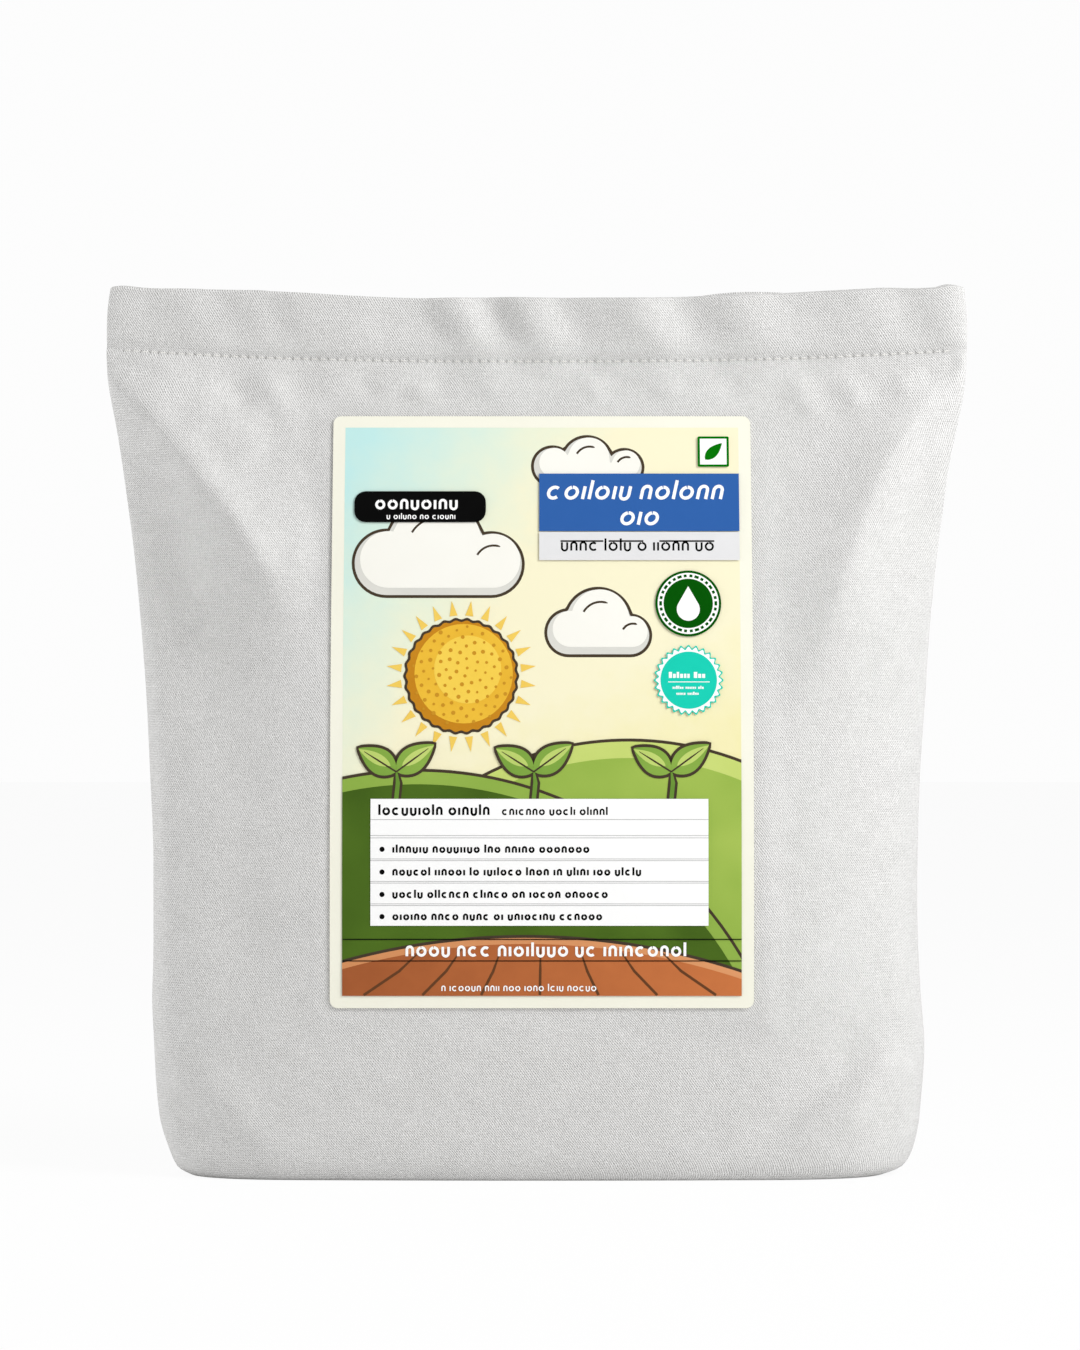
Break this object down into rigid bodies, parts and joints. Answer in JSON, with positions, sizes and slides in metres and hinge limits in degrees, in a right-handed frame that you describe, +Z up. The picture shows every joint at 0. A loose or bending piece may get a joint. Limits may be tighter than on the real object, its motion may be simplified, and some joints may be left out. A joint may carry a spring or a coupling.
{
  "type": "filled canvas compost bag",
  "caption": "Filled canvas bag of compost standing on its base, mouth sewn shut below a wavy double hem, with a printed paper label on its front.",
  "frame": {"origin": "middle of the flat patch that the bag stands on", "axes": "+Z up, the labelled front faces -Y, +X is to the right as the front is seen"},
  "size_m": [0.3264, 0.0847, 0.336],
  "materials": {
    "canvas": "undyed cotton canvas, matt",
    "thread": "undyed cotton thread",
    "card": "cream card, matt",
    "print_cream": "printed ink",
    "print_pale_blue": "printed ink",
    "print_cloud": "printed ink",
    "print_pale_gold": "printed ink",
    "print_gold": "printed ink",
    "print_light_green": "printed ink",
    "print_dark_green": "printed ink",
    "print_terracotta": "printed ink",
    "print_leaf_green": "printed ink",
    "print_blue": "printed ink",
    "print_grey": "printed ink",
    "print_black": "printed ink",
    "print_badge_green": "printed ink",
    "print_white": "printed ink",
    "print_teal": "printed ink"
  },
  "bodies": {
    "root": {"bag_body": "canvas", "closing_stitch_front": "thread", "closing_stitch_back": "thread", "label_card": "card", "print_sky": "print_cream", "print_sky_corner": "print_pale_blue", "print_cloud_left": "print_cloud", "print_cloud_top": "print_cloud", "print_cloud_right": "print_cloud", "print_sun_halo": "print_pale_gold", "print_sun": "print_gold", "print_hill_back": "print_light_green", "print_hill_front": "print_dark_green", "print_field": "print_terracotta", "print_title_band": "print_blue", "print_subtitle_band": "print_grey", "print_dark_plate": "print_black", "print_corner_mark": "print_badge_green", "print_round_badge": "print_badge_green", "print_seal_rim": "print_white", "print_seal_disc": "print_teal", "print_text_panel": "print_white", "print_seedling_left": "print_leaf_green", "print_seedling_middle": "print_leaf_green", "print_seedling_right": "print_leaf_green"}
  },
  "joints": []
}
